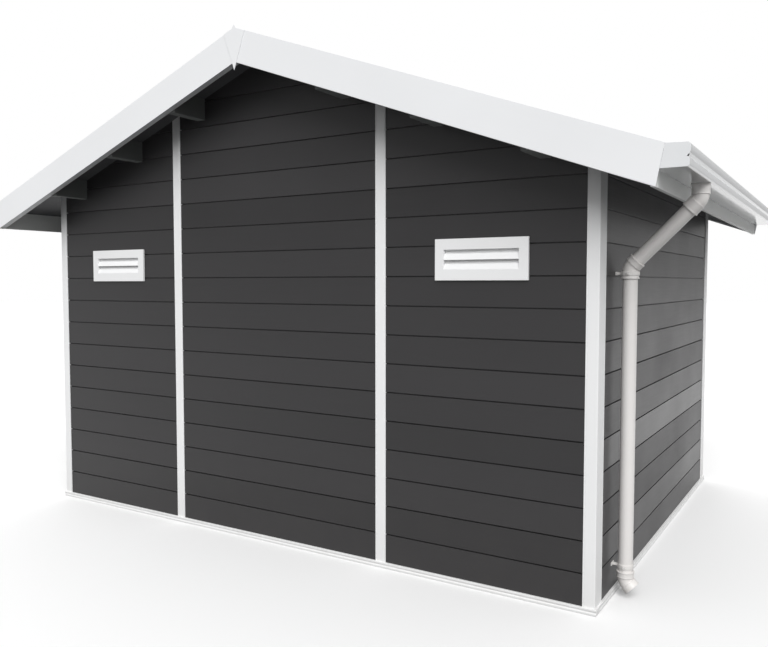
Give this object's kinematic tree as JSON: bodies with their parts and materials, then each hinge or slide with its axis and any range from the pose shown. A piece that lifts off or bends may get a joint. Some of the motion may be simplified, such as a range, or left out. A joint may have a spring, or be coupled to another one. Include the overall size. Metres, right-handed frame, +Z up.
{
  "type": "garden shed",
  "caption": "Gabled garden shed with charcoal composite board walls, white posts and base track, louvred vents, white barge boards, eaves gutters and a downpipe.",
  "frame": {"origin": "centre of the footprint at ground level, where the base track rests", "axes": "+Z up; -Y out of the front gable; +X out of the side wall that carries the downpipe, across the gables"},
  "size_m": [4.584, 3.392, 2.865],
  "materials": {
    "white_frame": "smooth white powder coat",
    "composite_board": "brushed charcoal wood-plastic composite",
    "trim_sheet": "smooth white coated sheet",
    "roof_sheet": "matt dark grey coated sheet",
    "purlin": "matt dark grey",
    "fascia_board": "satin white",
    "gutter_plastic": "glossy white",
    "pipe_plastic": "satin off-white",
    "vent_plastic": "satin white"
  },
  "bodies": {
    "root": {"base_track_front": "white_frame", "base_track_back": "white_frame", "base_track_left": "white_frame", "base_track_right": "white_frame", "corner_post_front_left": "white_frame", "corner_post_front_right": "white_frame", "corner_post_back_left": "white_frame", "corner_post_back_right": "white_frame", "front_post_left": "white_frame", "front_post_right": "white_frame", "back_post_left": "white_frame", "back_post_right": "white_frame", "front_wall_left": "composite_board", "front_wall_centre": "composite_board", "front_wall_right": "composite_board", "back_wall_left": "composite_board", "back_wall_centre": "composite_board", "back_wall_right": "composite_board", "left_wall": "composite_board", "right_wall": "composite_board", "front_vents": "vent_plastic", "front_vent_blades": "vent_plastic", "back_vents": "vent_plastic", "back_vent_blades": "vent_plastic", "purlins_left": "purlin", "purlins_right": "purlin", "roof_panel_left": "roof_sheet", "roof_panel_right": "roof_sheet", "ridge_cap": "roof_sheet", "barge_board_front_left": "trim_sheet", "barge_board_front_right": "trim_sheet", "barge_board_back_left": "trim_sheet", "barge_board_back_right": "trim_sheet", "apex_plate_front": "trim_sheet", "apex_plate_back": "trim_sheet", "fascia_left": "fascia_board", "fascia_right": "fascia_board", "gutter_left": "gutter_plastic", "gutter_right": "gutter_plastic", "downpipe_top_bend": "pipe_plastic", "downpipe_offset": "pipe_plastic", "downpipe_lower_bend": "pipe_plastic", "downpipe_pipe": "pipe_plastic", "downpipe_shoe": "pipe_plastic", "downpipe_brackets": "pipe_plastic"}
  },
  "joints": []
}
